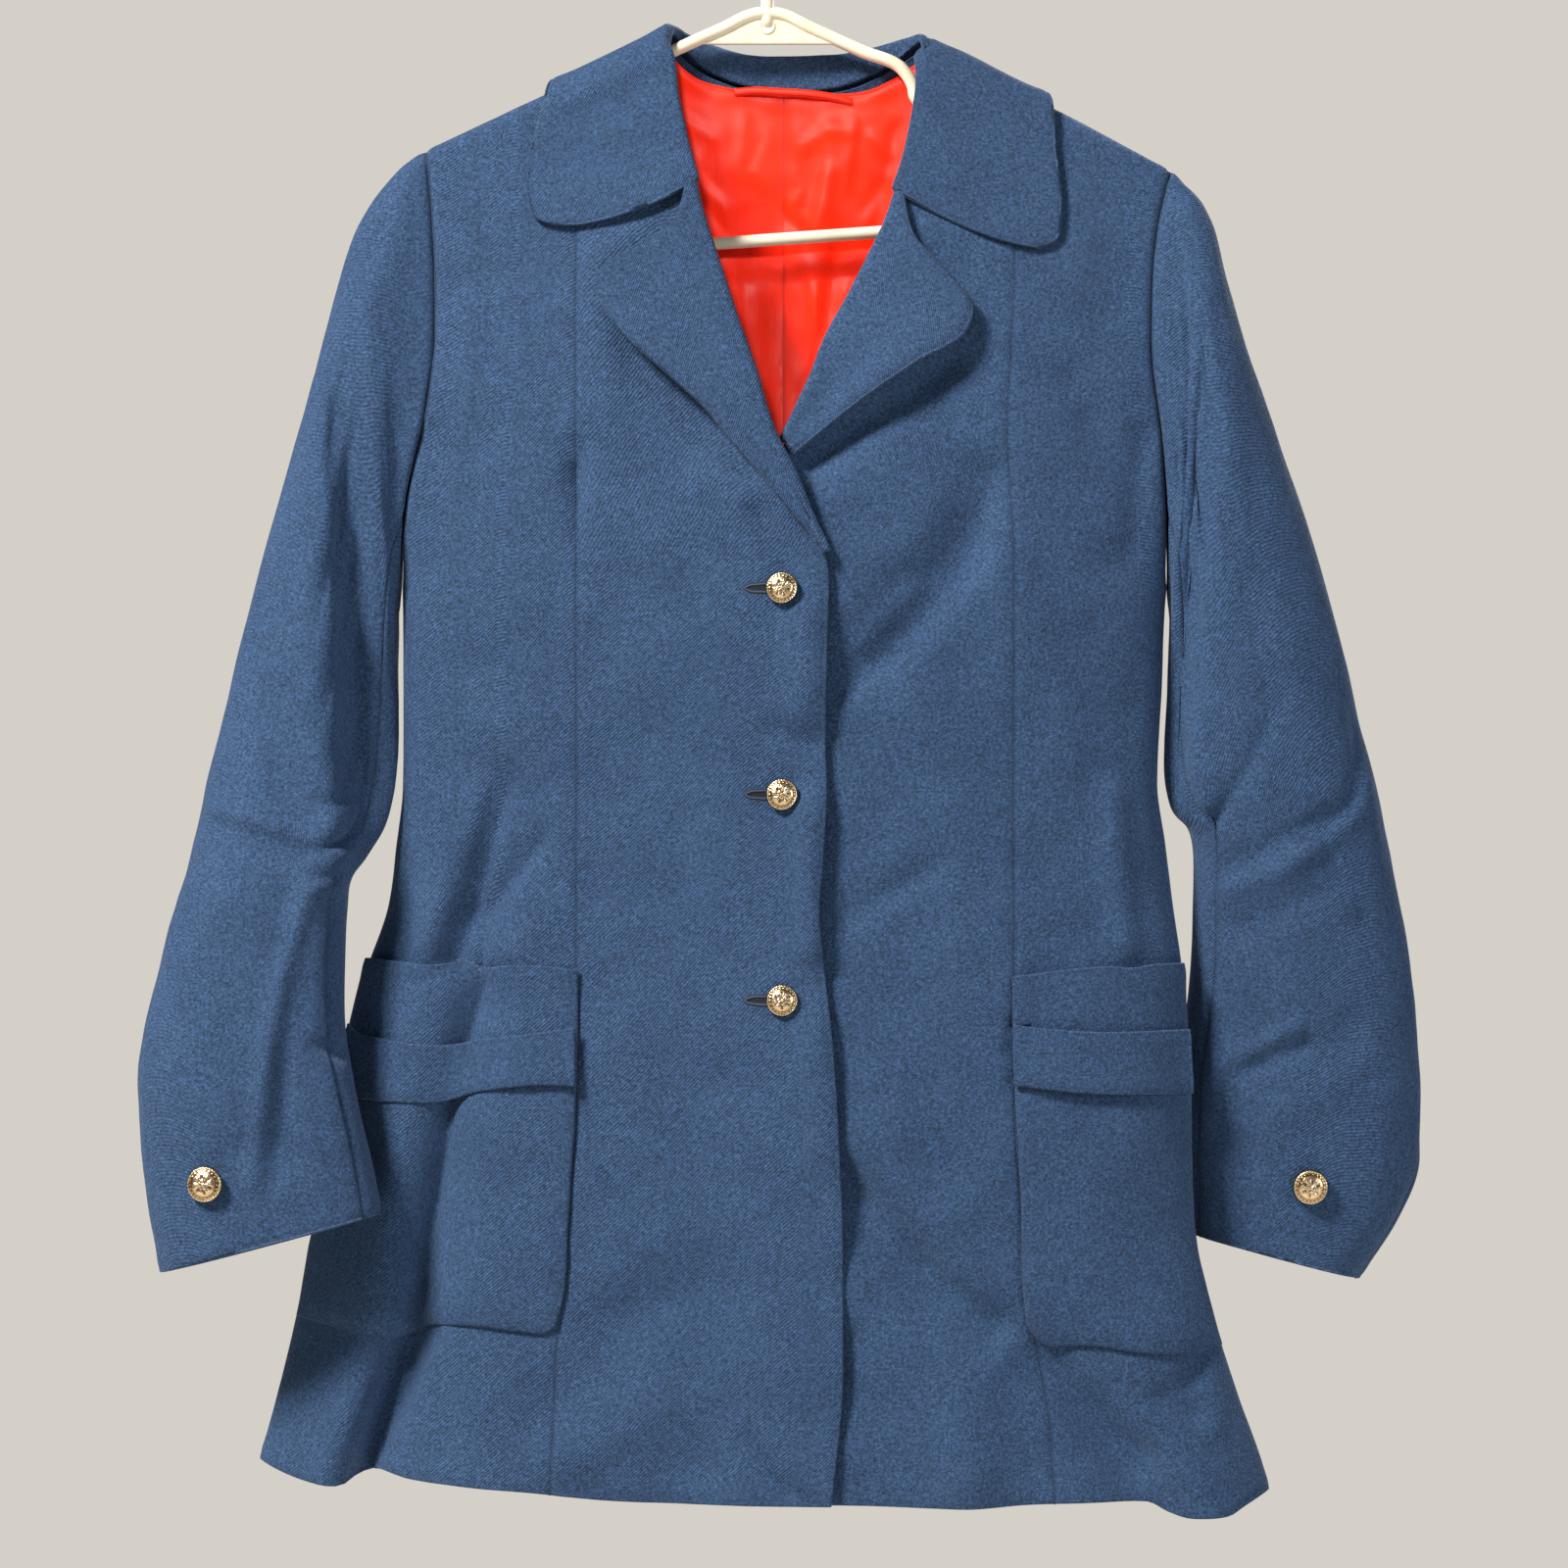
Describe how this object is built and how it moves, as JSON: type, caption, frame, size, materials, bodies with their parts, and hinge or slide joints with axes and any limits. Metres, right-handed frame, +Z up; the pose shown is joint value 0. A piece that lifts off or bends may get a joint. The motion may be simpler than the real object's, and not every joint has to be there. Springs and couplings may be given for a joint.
{
  "type": "long blazer on a hanger",
  "caption": "Long fitted blazer with notched lapels, metal buttons and strapped patch pockets, hung buttoned on a tubular hanger.",
  "frame": {"origin": "inside top of the hanger's hook, where a rod carries it", "axes": "+X to the wearer's left, +Y to the wearer's back, +Z up; the front faces -Y"},
  "size_m": [0.6756, 0.1292, 0.907],
  "materials": {
    "blue_wool": "soft fine twill of fulled wool",
    "red_satin": "smooth satin with a soft sheen",
    "gold_metal": "struck relief, polished on its high places",
    "cream_plastic": "smooth moulded plastic"
  },
  "bodies": {
    "root": {"front_right": "blue_wool", "side_front_right": "blue_wool", "front_left": "blue_wool", "side_front_left": "blue_wool", "back_right": "blue_wool", "back_left": "blue_wool", "top_sleeve_right": "blue_wool", "top_sleeve_left": "blue_wool", "under_sleeve_right": "blue_wool", "under_sleeve_left": "blue_wool", "collar": "blue_wool", "lapel_right": "blue_wool", "lapel_left": "blue_wool", "pocket_right": "blue_wool", "pocket_left": "blue_wool", "pocket_band_right": "blue_wool", "pocket_band_left": "blue_wool", "buttonhole_1": "blue_wool", "buttonhole_2": "blue_wool", "buttonhole_3": "blue_wool", "lining_back_right": "red_satin", "lining_back_left": "red_satin", "hanger_loop": "red_satin", "front_button_1": "gold_metal", "front_button_2": "gold_metal", "front_button_3": "gold_metal", "cuff_button_right": "gold_metal", "cuff_button_left": "gold_metal", "hanger": "cream_plastic"}
  },
  "joints": []
}
